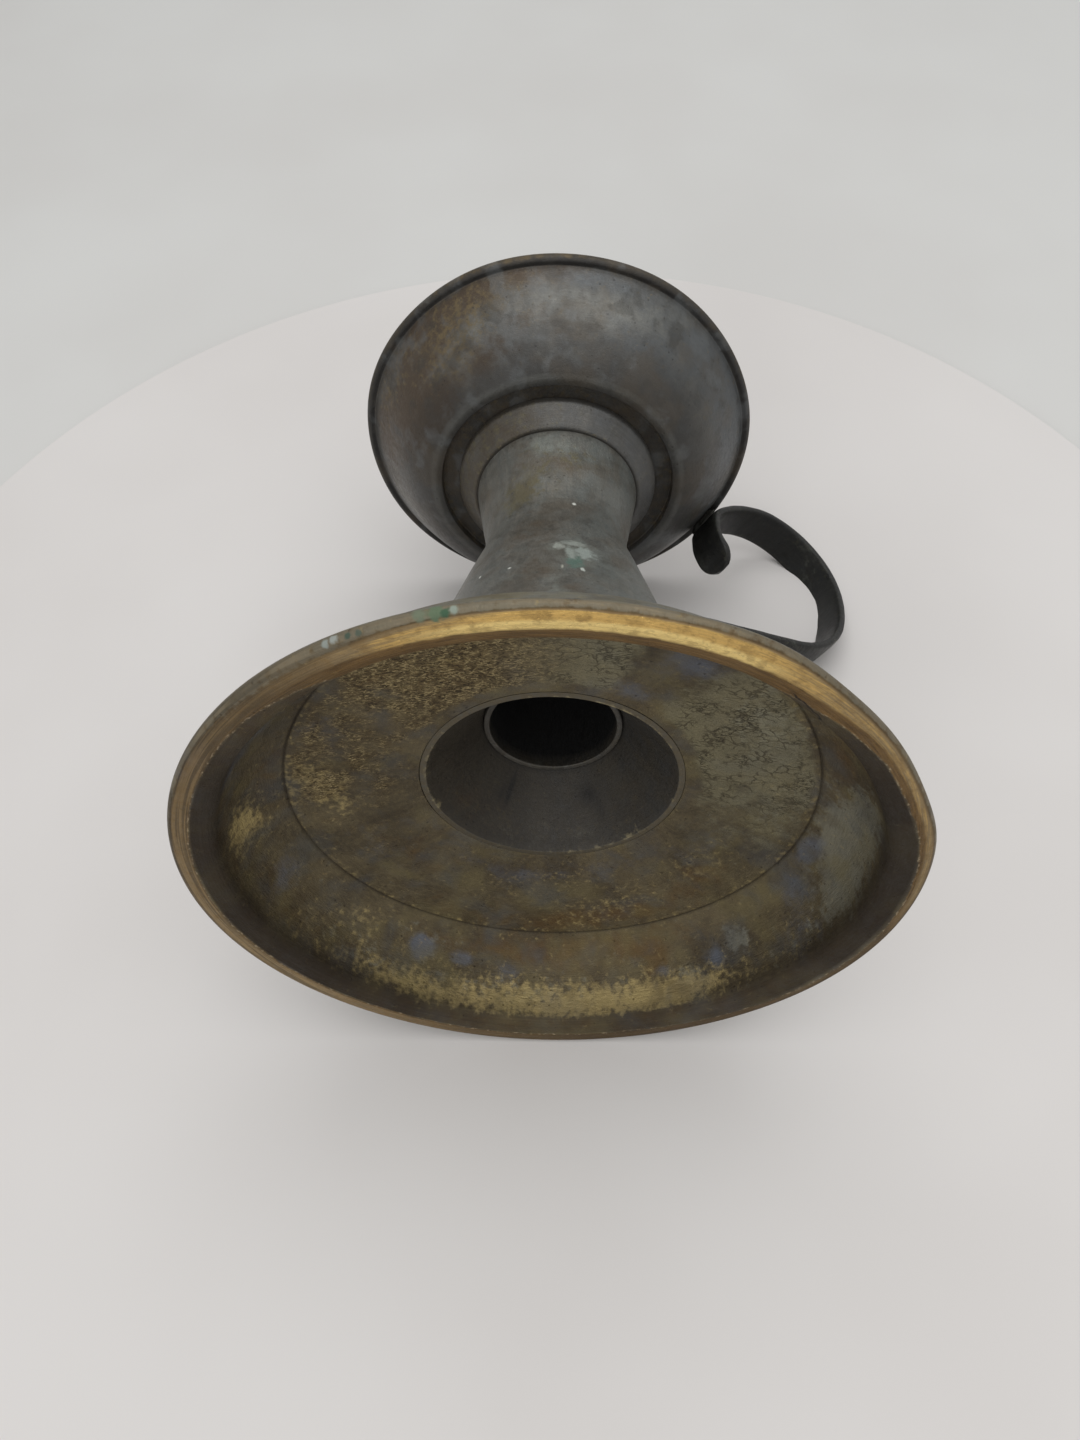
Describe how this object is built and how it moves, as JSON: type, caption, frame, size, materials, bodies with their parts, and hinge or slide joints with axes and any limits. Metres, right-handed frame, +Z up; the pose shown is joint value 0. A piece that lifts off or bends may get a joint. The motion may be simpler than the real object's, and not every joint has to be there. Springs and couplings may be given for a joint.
{
  "type": "candlestick",
  "caption": "Old dark brass candlestick with a wide dished base, a waisted stem, a drip bowl round the candle socket and a strap handle bent into a loop beside the bowl.",
  "frame": {"origin": "centre of the circle on which the base rim stands, on the axis of the turned pieces", "axes": "+Z up along the axis, from the base to the bowl; +X toward the handle; +Y completes the right-handed frame"},
  "size_m": [0.1537, 0.1314, 0.1381],
  "materials": {
    "base_brass": "tarnished, worn bright on the rim",
    "funnel_brass": "dark smooth tarnish",
    "stem_brass": "grey green tarnish",
    "tube_brass": "dark tarnish",
    "bowl_brass": "brown and grey tarnish",
    "rim_wire": "dark",
    "strap_brass": "near black tarnish",
    "braze_metal": "rough dark braze"
  },
  "bodies": {
    "root": {"base_dish": "base_brass", "foot_funnel": "funnel_brass", "stem_shell": "stem_brass", "candle_tube": "tube_brass", "candle_stop": "tube_brass", "mouth_ring": "tube_brass", "collar": "stem_brass", "bowl": "bowl_brass", "bowl_rim_wire": "rim_wire", "bowl_hold_ring": "tube_brass", "handle_strap": "strap_brass", "handle_braze_bowl": "braze_metal", "handle_braze_stem": "braze_metal"}
  },
  "joints": []
}
